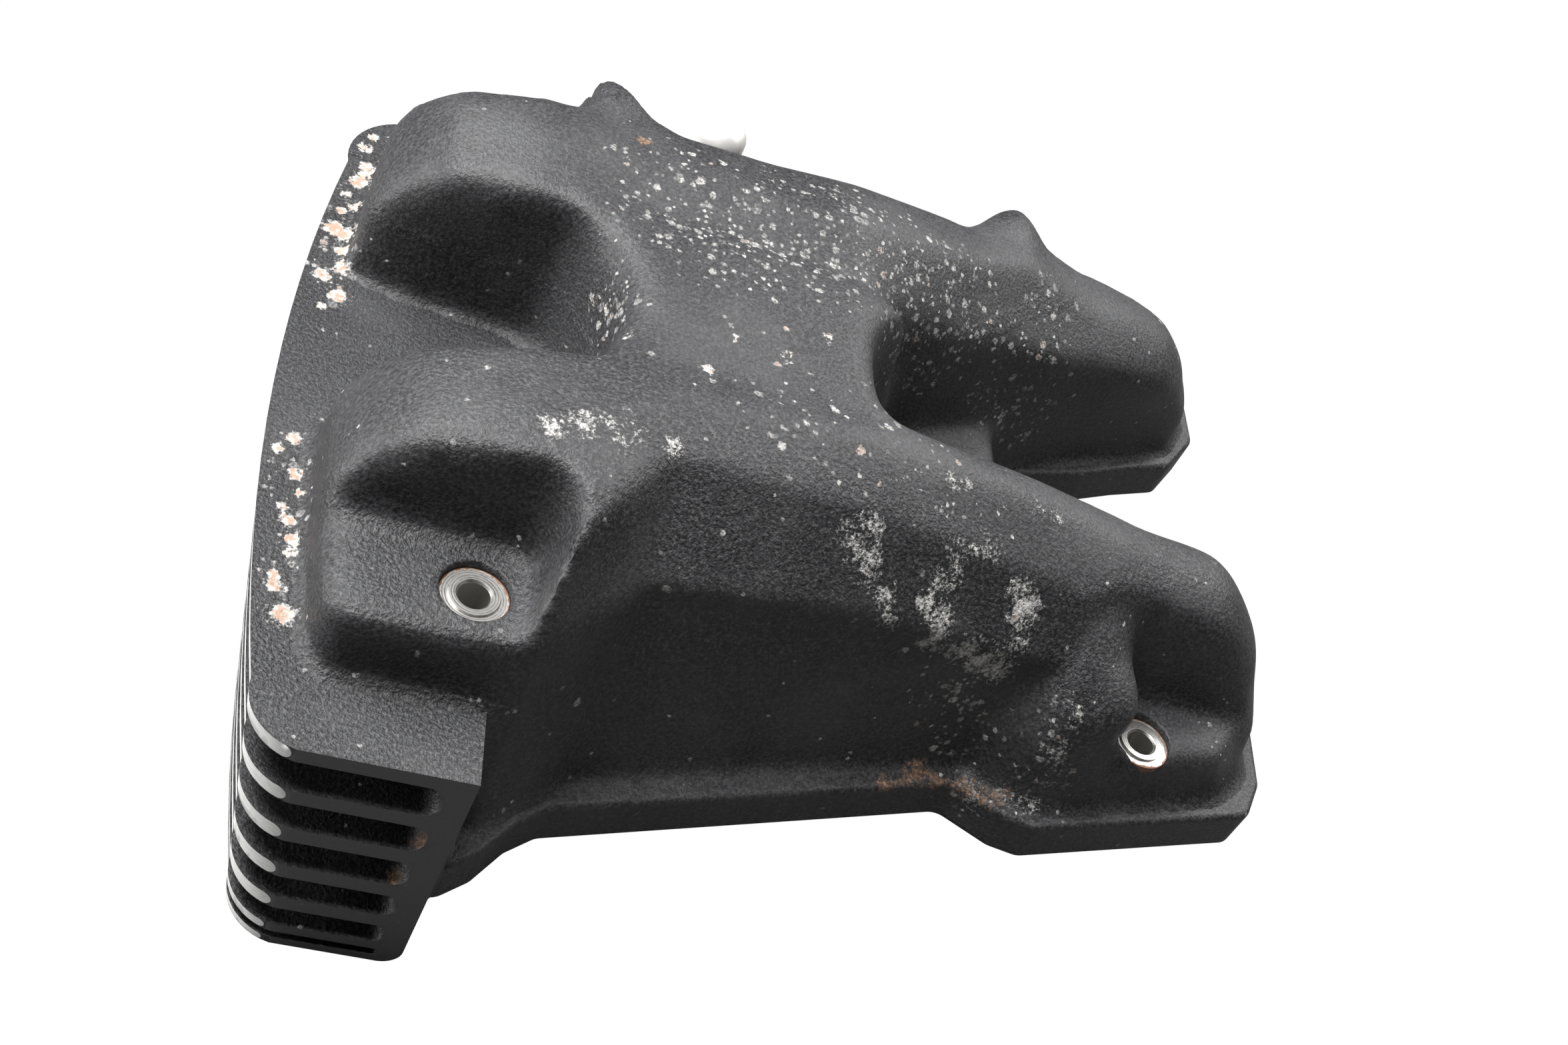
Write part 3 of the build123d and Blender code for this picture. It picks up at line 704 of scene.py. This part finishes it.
@dataclass
class Casting:
    """The cover's casting: a softened cast skin, a crisp milled stack of fins and a crisp flange rim.

    All sizes are in millimetres in the frame's own axes.
    """

    voxel: float = 1.7
    split_x: float = 8.6
    overlap_x: float = 2.6
    overlap_z: float = 3.4
    tuck: float = 0.22
    rim_height: float = 12.0
    cut_above: float = 0.05
    grid: float = 3.0
    fine_grid: float = 1.0
    rim_inside: float = -26.0
    seats: tuple[tuple[float, float, float], ...] = ((0, 0, 62), (0, 154, 62), (176, 31, 28), (167, 193, 28))
    counterbore: tuple[float, float] = (7.65, 3.6)
    bush_bore: tuple[float, float] = (6.65, 12.6)
    sleeve_bore: float = 4.85
    fin_middles: tuple[float, ...] = (43.0, 29.4, 16.55, 3.6, -8.2, -18.0, -22.9)
    fin_halves: tuple[float, ...] = (1.9, 1.95, 2.1, 2.05, 1.95, 1.25, 0.95)
    rim_end: float = -31.3
    lean: float = 0.12
    deck: float = 45.0
    near_face: float = -35.0
    # painted light: a paler copy of the coat colour for the fins' near face, which faces the camera
    near_face_painted_light: str = "#5c5c5d"
    coat: TexturedBlackCoat = field(default_factory=TexturedBlackCoat)
    milled: MilledAluminium = field(default_factory=MilledAluminium)

    def rounds(self, p: np.ndarray) -> np.ndarray:
        """How many smoothing rounds each point of the skin takes.

        Few on the flange and the plate's rim, more on the humps' finned ends and round the recess.

        Args:
            p: points in millimetres.

        Returns:
            A whole number for each point.
        """
        x, y, z = p.T
        rounds = np.full(len(p), 7.0)
        end = smoothstep(-x, -2.0, 10.0) * smoothstep(z, 47.0, 56.0)
        rounds += 14 * end
        saddle = smoothstep(z, 40.0, 60.0) * smoothstep(y, 56.0, 64.0) * smoothstep(-y, -112.0, -100.0)
        rounds += 16 * saddle * smoothstep(x, 10.0, 18.0)
        recess = smoothstep(x, 84.0, 92.0) * smoothstep(y, 62.0, 70.0) * smoothstep(-y, -140.0, -126.0)
        rounds += 12 * recess * smoothstep(z, 20.0, 27.0) * (1 - saddle)
        right = smoothstep(x, 150.0, 168.0) * smoothstep(z, 14.0, 24.0)
        rounds += 6 * right
        # the far fin pocket runs out into the saddle, and the recess's end is rounder
        runout = smoothstep(x, 12.0, 18.0) * (1 - smoothstep(x, 28.0, 40.0)) * smoothstep(y, 50.0, 58.0)
        rounds += 26 * runout * smoothstep(z, 52.0, 60.0) * (1 - smoothstep(y, 98.0, 108.0))
        recess_end = smoothstep(x, 78.0, 84.0) * (1 - smoothstep(x, 104.0, 118.0)) * smoothstep(y, 60.0, 66.0)
        rounds += 20 * recess_end * smoothstep(z, 20.0, 27.0) * (1 - smoothstep(y, 118.0, 128.0))
        panel = smoothstep(x, 30.0, 33.0) * smoothstep(-x, -158.0, -150.0) * smoothstep(-y, -46.0, -30.0)
        rounds -= 3 * panel * smoothstep(z, 20.0, 30.0)
        flange = 1 - smoothstep(z, 10.0, 15.0)
        rounds = rounds * (1 - flange) + 3.0 * flange
        rim = smoothstep(-x, 24.0, 31.0) * (1 - smoothstep(z, 46.0, 50.0))
        near = smoothstep(-y, 17.0, 24.0) * (1 - smoothstep(z, 46.0, 50.0)) * smoothstep(-x, -14.0, -9.0)
        foot = 0.8 * (1 - smoothstep(z, 46.5, 50.0)) * (1 - smoothstep(x, 4.0, 12.0))
        rounds *= 1 - np.maximum.reduce([rim, near, foot])
        return np.round(rounds)

    def skin(self, source: bpy.types.Object) -> bpy.types.Object:
        """The softened skin.

        The casting right of the fins and above the top plate is sampled on an even lattice, then each point
        moves half way to the mean of its neighbours, for as many rounds as its place asks for.

        Args:
            source: the casting's CAD node.

        Returns:
            The skin.
        """
        right = cut_copy(
            source,
            "right_of_fins",
            [(Vector((mm(self.split_x - self.overlap_x), 0, 0)), Vector((-1, 0, 0)))],
        )
        above = cut_copy(
            source,
            "above_plate",
            [
                (Vector((0, 0, mm(self.deck - self.overlap_z))), Vector((0, 0, -1))),
                (Vector((mm(self.split_x + 4), 0, 0)), Vector((1, 0, 0))),
            ],
        )
        plugs = []
        for x, y, seat in self.seats:
            low = self.deck - self.overlap_z + 0.4 if x < self.split_x else 1.0
            plugs.append(lathe("plug", [(0, low), (8.2, low), (8.2, seat), (0, seat)], (x, y), 32))
        joined = self.joined("cast_skin", [right, above, *plugs])
        remesh = joined.modifiers.new("lattice", "REMESH")
        remesh.mode = "VOXEL"
        remesh.voxel_size = mm(self.voxel)
        mesh = evaluated_mesh(joined)
        joined.modifiers.clear()
        joined.data = mesh
        points = points_of(mesh)
        edges = np.empty(len(mesh.edges) * 2, dtype=np.int64)
        mesh.edges.foreach_get("vertices", edges)
        edges = edges.reshape(-1, 2)
        count = len(points)
        degree = np.bincount(edges.ravel(), minlength=count)
        rounds = self.rounds(points * 1000)
        for turn in range(int(rounds.max())):
            total = np.empty_like(points)
            for axis in range(3):
                first = np.bincount(edges[:, 0], weights=points[edges[:, 1], axis], minlength=count)
                second = np.bincount(edges[:, 1], weights=points[edges[:, 0], axis], minlength=count)
                total[:, axis] = (first + second) / degree
            moving = (turn < rounds)[:, None]
            points = np.where(moving, points * 0.5 + total * 0.5, points)
        mesh.vertices.foreach_set("co", points.ravel())
        mesh.update()
        normals = np.empty(count * 3)
        mesh.vertices.foreach_get("normal", normals)
        normals = normals.reshape(-1, 3)
        # each swell lifts a point along its normal by its height times (1 − (distance / radius)²)²
        for swell in SWELLS:
            away = np.linalg.norm(points * 1000 - np.array(swell.centre), axis=1) / swell.radius
            points = points + normals * (mm(swell.height) * np.clip(1 - away**2, 0, 1) ** 2)[:, None]
        # tucked just under the crisp stack and the crisp flange where they overlap
        x, _, z = (points * 1000).T
        hidden = (x < self.split_x - 0.3) & (z < self.deck + 0.3)
        hidden |= z < self.rim_height + 0.3
        points = points - normals * mm(self.tuck) * hidden[:, None]
        mesh.vertices.foreach_set("co", points.ravel())
        mesh.update()
        return joined

    def joined(self, name: str, parts: list[bpy.types.Object]) -> bpy.types.Object:
        """One object from several.

        Args:
            name: its name.
            parts: the objects, which are used up.

        Returns:
            The joined object.
        """
        work = bmesh.new()
        for part in parts:
            work.from_mesh(part.data)
            bpy.data.objects.remove(part)
        mesh = bpy.data.meshes.new(name)
        work.to_mesh(mesh)
        work.free()
        made = bpy.data.objects.new(name, mesh)
        bpy.context.scene.collection.objects.link(made)
        return made

    def bore(self, skin: bpy.types.Object) -> None:
        """Cuts the stepped bolt holes cleanly through the skin.

        Args:
            skin: the skin.
        """
        cutters = []
        wide, wide_depth = self.counterbore
        middle, middle_depth = self.bush_bore
        for x, y, seat in self.seats:
            profile = [
                (0, -3.0),
                (self.sleeve_bore, -3.0),
                (self.sleeve_bore, seat - middle_depth),
                (middle, seat - middle_depth),
                (middle, seat - wide_depth),
                (wide, seat - wide_depth),
                (wide, seat - 0.35),
                (wide + 1.2, seat + 0.85),
                (wide + 1.2, seat + 4.0),
                (0, seat + 4.0),
            ]
            cutters.append(lathe("cutter", profile, (x, y)))
        cutter = self.joined("cutters", cutters)
        cut = skin.modifiers.new("bores", "BOOLEAN")
        cut.operation = "DIFFERENCE"
        cut.solver = "EXACT"
        cut.object = cutter
        mesh = evaluated_mesh(skin)
        skin.modifiers.clear()
        skin.data = mesh
        bpy.data.objects.remove(cutter)

    def mark(self, piece: bpy.types.Object) -> None:
        """Writes the wear attributes that the coat reads.

        Args:
            piece: a piece of the casting.
        """
        mesh = piece.data
        points = points_of(mesh)
        x, y, z = (points * 1000).T
        plate = (1 - smoothstep(np.abs(z - self.deck), 1.0, 2.5)) * (1 - smoothstep(x, 8.0, 24.0))
        plate *= 0.45 + 0.55 * (1 - smoothstep(y, -12.0, 30.0))
        panel = smoothstep(x, 33.0, 37.0) * (1 - smoothstep(x, 150.0, 164.0))
        panel *= smoothstep(z, 38.0, 48.0) * (1 - smoothstep(y, 36.0, 50.0)) * 0.75
        bulge = smoothstep(x, 132.0, 146.0) * (1 - smoothstep(x, 166.0, 170.0))
        bulge *= smoothstep(z, 26.0, 36.0) * (1 - smoothstep(y, 30.0, 46.0)) * 0.75
        floor = (1 - smoothstep(np.abs(z - 62.0), 1.0, 3.0)) * 0.75
        crown = smoothstep(
            z, 70.0, 84.0
        ) * (1 - smoothstep(y, 44.0, 80.0)) * (1 - smoothstep(x, 30.0, 60.0)) * 0.75
        rest = np.full(len(x), 0.4)
        fields = {
            "grain": np.maximum.reduce([plate, panel, bulge, floor, crown, rest]),
            "bloom": np.maximum(patch_field(points, BLOOMS, 1.35), 0.55 * patch_field(points, CRUSTS, 2.2)),
            "blister": patch_field(points, BLISTERS),
            "crust": patch_field(points, CRUSTS),
            "rust": patch_field(points, STAINS),
        }
        for name, values in fields.items():
            layer = mesh.attributes.new(name, "FLOAT", "POINT")
            layer.data.foreach_set("value", values.astype(np.float32))

    def crisp(self, source: bpy.types.Object, name: str, side: Side, height: float) -> bpy.types.Object:
        """A crisp part of the casting, gridded to carry the wear.

        Args:
            source: the casting's CAD node.
            name: the part's name.
            side: the side of the split that it keeps.
            height: height of the face that it ends just above.

        Returns:
            The part.
        """
        planes = [
            (Vector((mm(self.split_x), 0, 0)), Vector((side.value, 0, 0))),
            (Vector((0, 0, mm(height + self.cut_above))), Vector((0, 0, 1))),
        ]
        made = cut_copy(source, name, planes)
        gridded(made, self.grid)
        if side is Side.FINS:
            gridded(made, self.fine_grid, (self.rim_inside, self.deck - 0.2))
        return made

    def stack_material(self) -> bpy.types.Material:
        """The black coat with the fins' outer edges milled bare.

        A fin's edge is bare where the point, drawn back along the stack's lean, lies within a rounded band
        about the fin's middle height and outside the place where the milling ends.

        Returns:
            The material.
        """
        made = self.coat.material()
        made.name = "coated_and_milled_fins"
        tree = made.node_tree
        shader = tree.nodes["Principled BSDF"]
        place = node(tree, "ShaderNodeTexCoord").outputs["Object"]
        split = node(tree, "ShaderNodeSeparateXYZ", Vector=place)
        lean = node(
            tree, "ShaderNodeMath", {"operation": "MULTIPLY_ADD"}, i0=split.outputs[
                "Z"
            ], i1=self.lean, i2=split.outputs["X"]
        )
        past = node(
            tree,
            "ShaderNodeMath",
            {"operation": "SUBTRACT"},
            i0=lean.outputs[0],
            i1=mm(self.rim_end + self.lean * self.deck),
        )
        past = node(tree, "ShaderNodeMath", {"operation": "MAXIMUM"}, i0=past.outputs[0], i1=0.0)
        bare: bpy.types.NodeSocket | float = 0.0
        for middle, half in zip(self.fin_middles, self.fin_halves):
            off = node(
                tree, "ShaderNodeMath", {"operation": "SUBTRACT"}, i0=split.outputs["Z"], i1=mm(middle)
            )
            pair = node(tree, "ShaderNodeCombineXYZ", X=past.outputs[0], Y=off.outputs[0])
            away = node(
                tree, "ShaderNodeVectorMath", {"operation": "LENGTH"}, i0=pair.outputs[0]
            ).outputs["Value"]
            inside = node(
                tree, "ShaderNodeMapRange", Value=away, From_Min=mm(half + 0.05), From_Max=mm(half - 0.05)
            ).outputs[0]
            bare = node(tree, "ShaderNodeMath", {"operation": "MAXIMUM"}, i0=inside, i1=bare).outputs[0]
        # only the outward faces are milled
        facing = node(tree, "ShaderNodeNewGeometry").outputs["True Normal"]
        outward = node(tree, "ShaderNodeSeparateXYZ", Vector=facing).outputs["X"]
        outward = node(tree, "ShaderNodeMath", {"operation": "LESS_THAN"}, i0=outward, i1=-0.08).outputs[0]
        bare = node(tree, "ShaderNodeMath", {"operation": "MULTIPLY"}, i0=bare, i1=outward).outputs[0]
        colour, roughness = self.milled.dress(tree, place)
        # painted light: the near face, which faces the camera, takes a paler copy of the coat colour, and its
        # crinkle bump is weaker
        near = node(tree, "ShaderNodeSeparateXYZ", Vector=facing).outputs["Y"]
        near = node(tree, "ShaderNodeMath", {"operation": "LESS_THAN"}, i0=near, i1=-0.97).outputs[0]
        ahead = node(
            tree,
            "ShaderNodeMath",
            {"operation": "LESS_THAN"},
            i0=split.outputs["Y"],
            i1=mm(self.near_face + 0.5),
        )
        front_face_mask = node(
            tree, "ShaderNodeMath", {"operation": "MULTIPLY"}, i0=near, i1=ahead.outputs[0]
        ).outputs[0]
        front_face_mask = node(tree, "ShaderNodeMath", {"operation": "MULTIPLY"}, i0=front_face_mask, i1=0.8).outputs[0]
        was = shader.inputs["Base Color"].links[0].from_socket
        # painted light: the near face's coat colour is mixed toward the paler copy
        painted_light_front = node(
            tree, "ShaderNodeMix", {"data_type": "RGBA"}, Factor=front_face_mask, i6=was, i7=linear(self.near_face_painted_light)
        )
        both = {"Factor": bare, "i6": painted_light_front.outputs[2], "i7": colour}
        mixed = node(tree, "ShaderNodeMix", {"data_type": "RGBA"}, **both).outputs[2]
        tree.links.new(mixed, shader.inputs["Base Color"])
        was = shader.inputs["Roughness"].links[0].from_socket
        rough = node(tree, "ShaderNodeMix", i0=bare, i2=was, i3=roughness).outputs[0]
        tree.links.new(rough, shader.inputs["Roughness"])
        bump = shader.inputs["Normal"].links[0].from_node
        smooth = node(tree, "ShaderNodeMath", {"operation": "MAXIMUM"}, i0=bare, i1=front_face_mask).outputs[0]
        strength = node(
            tree, "ShaderNodeMath", {"operation": "MULTIPLY_ADD"}, i0=smooth, i1=-0.9, i2=1.0
        ).outputs[0]
        tree.links.new(strength, bump.inputs["Strength"])
        return made

    def build(self, source: bpy.types.Object) -> None:
        """Builds and dresses the skin, the fin stack and the flange rim in place of the CAD node.

        Args:
            source: the casting's CAD node.
        """
        skin = self.skin(source)
        self.bore(skin)
        self.mark(skin)
        skin.data.materials.clear()
        skin.data.materials.append(self.coat.material())
        skin.data.polygons.foreach_set("use_smooth", [True] * len(skin.data.polygons))
        skin.data.set_sharp_from_angle(angle=math.radians(50))
        LOG.info("%s: %d points", skin.name, len(skin.data.vertices))
        stack = self.crisp(source, "fin_stack", Side.FINS, self.deck)
        rim = self.crisp(source, "flange_rim", Side.FLANGE, self.rim_height)
        for piece, finish, angle in ((stack, self.stack_material(), 28), (rim, skin.data.materials[0], 40)):
            self.mark(piece)
            piece.data.materials.clear()
            piece.data.materials.append(finish)
            piece.data.polygons.foreach_set("use_smooth", [True] * len(piece.data.polygons))
            piece.data.set_sharp_from_angle(angle=math.radians(angle))
            LOG.info("%s: %d points", piece.name, len(piece.data.vertices))
        for piece in (skin, stack, rim):
            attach(piece, "root")
            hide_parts("cover")


# ---------------------------------------------------------------- the small parts


@dataclass
class SmallParts:
    """Sleeves, bushes, seal and stud: CAD nodes that only take a finish."""

    sleeves: dict[str, tuple[float, float]] = field(
        default_factory=lambda: {
            "near_fin": (0, 0),
            "far_fin": (0, 154),
            "near_end": (176, 31),
            "far_end": (167, 193),
        }
    )

    def dress(self, name: str, finish: bpy.types.Material) -> None:
        """Gives one CAD node its finish.

        Args:
            name: the node.
            finish: its material.
        """
        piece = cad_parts[name]
        piece.data.materials.clear()
        piece.data.materials.append(finish)
        LOG.info("%s: %s", name, finish.name)

    def build(self) -> None:
        """Dresses all the small parts."""
        rubber = MOULDED_RUBBER.material()
        for tag, centre in self.sleeves.items():
            self.dress("sleeve_" + tag, TurnedSteel(centre).material("turned_steel_" + tag))
            self.dress("bush_" + tag, rubber)
        self.dress("seal", rubber)
        self.dress("stud", ZINC_PLATE.material())


# ---------------------------------------------------------------- the studio


@dataclass(frozen=True)
class Softbox:
    """A square soft lamp: its place and side in millimetres, and its power in watts."""

    name: str
    place: tuple[float, float, float]
    size: float
    power: float


SOFTBOXES = (
    Softbox("back_left_softbox", (-500, 600, 900), 600, 8.5),
    Softbox("top_softbox", (-350, 120, 1050), 600, 21.5),
    Softbox("right_softbox", (900, 100, 700), 600, 1.8),
    Softbox("far_right_softbox", (700, 700, 700), 600, 8.5),
    Softbox("left_softbox", (-1200, 250, 150), 500, 14.0),
)


@dataclass
class Studio:
    """A pale floor, soft lamps and the camera."""

    eye: tuple[float, float, float] = (-66.53, -288.94, 382.33)
    right: tuple[float, float, float] = (0.9324, -0.0311, 0.3601)
    down: tuple[float, float, float] = (0.2268, -0.7252, -0.6501)
    lens: float = 48.98
    floor_gap: float = 0.6
    floor_half: float = 3000.0
    floor_colour: str = "#707070"
    surround_level: float = 0.01
    centre: tuple[float, float, float] = (90.0, 92.0, 30.0)

    def camera(self) -> None:
        """The camera, set by its place and its right and down directions."""
        data = bpy.data.cameras.new("camera")
        data.lens = self.lens
        data.sensor_width = 36.0
        data.clip_start, data.clip_end = 0.01, 20.0
        made = bpy.data.objects.new("camera", data)
        right = Vector(self.right).normalized()
        up = -Vector(self.down)
        up = (up - right * up.dot(right)).normalized()
        turn = Matrix((right, up, right.cross(up))).transposed().to_4x4()
        made.matrix_world = Matrix.Translation(Vector(self.eye) / 1000) @ turn
        bpy.context.scene.collection.objects.link(made)
        bpy.context.scene.camera = made

    def lamp(self, box: Softbox) -> None:
        """Sets up one soft lamp, aimed at the cover."""
        data = bpy.data.lights.new(box.name, "AREA")
        data.shape = "SQUARE"
        data.size = mm(box.size)
        data.energy = box.power
        made = bpy.data.objects.new(box.name, data)
        made.location = Vector(box.place) / 1000
        aim = Vector(self.centre) / 1000 - made.location
        made.rotation_euler = aim.to_track_quat("-Z", "Y").to_euler()
        bpy.context.scene.collection.objects.link(made)

    def floor(self) -> None:
        """A wide floor: grey in the light that it gives back, plain white to the camera."""
        low = CAD_BOX[0].z * 1000 - self.floor_gap
        half = self.floor_half
        corners = np.array(
            [[-half, -half, low], [half, -half, low], [half, half, low], [-half, half, low]]
        ) / 1000
        made = mesh_object("floor", corners, [[0, 1, 2, 3]])
        paint = bpy.data.materials.new("white_sweep")
        paint.use_nodes = True
        tree = paint.node_tree
        shader = tree.nodes["Principled BSDF"]
        shader.inputs["Base Color"].default_value = linear(self.floor_colour)
        shader.inputs["Roughness"].default_value = 0.9
        seen = node(tree, "ShaderNodeLightPath").outputs["Is Camera Ray"]
        white = node(tree, "ShaderNodeEmission", Color=(1, 1, 1, 1), Strength=1.0)
        both = node(tree, "ShaderNodeMixShader", i0=seen, i1=shader.outputs[0], i2=white.outputs[0])
        tree.links.new(both.outputs[0], tree.nodes["Material Output"].inputs["Surface"])
        made.data.materials.append(paint)

    def world(self) -> None:
        """A faint, even surround that is plain white to the camera."""
        made = bpy.data.worlds.new("surround")
        made.use_nodes = True
        tree = made.node_tree
        ground = tree.nodes["Background"]
        ground.inputs["Color"].default_value = (1, 1, 1, 1)
        seen = node(tree, "ShaderNodeLightPath").outputs["Is Camera Ray"]
        level = node(tree, "ShaderNodeMapRange", Value=seen, To_Min=self.surround_level, To_Max=1.0)
        tree.links.new(level.outputs[0], ground.inputs["Strength"])
        bpy.context.scene.world = made

    def build(self) -> None:
        """Sets up floor, surround, lamps and camera."""
        self.floor()
        self.world()
        for box in SOFTBOXES:
            self.lamp(box)
        self.camera()
        bpy.context.scene.view_settings.view_transform = "Standard"


def main() -> None:
    """Builds every piece in order."""
    logging.basicConfig(level=logging.INFO, format="%(name)s %(message)s")
    Casting().build(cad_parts["cover"])
    SmallParts().build()
    Studio().build()


if __name__ == "__main__":
    main()
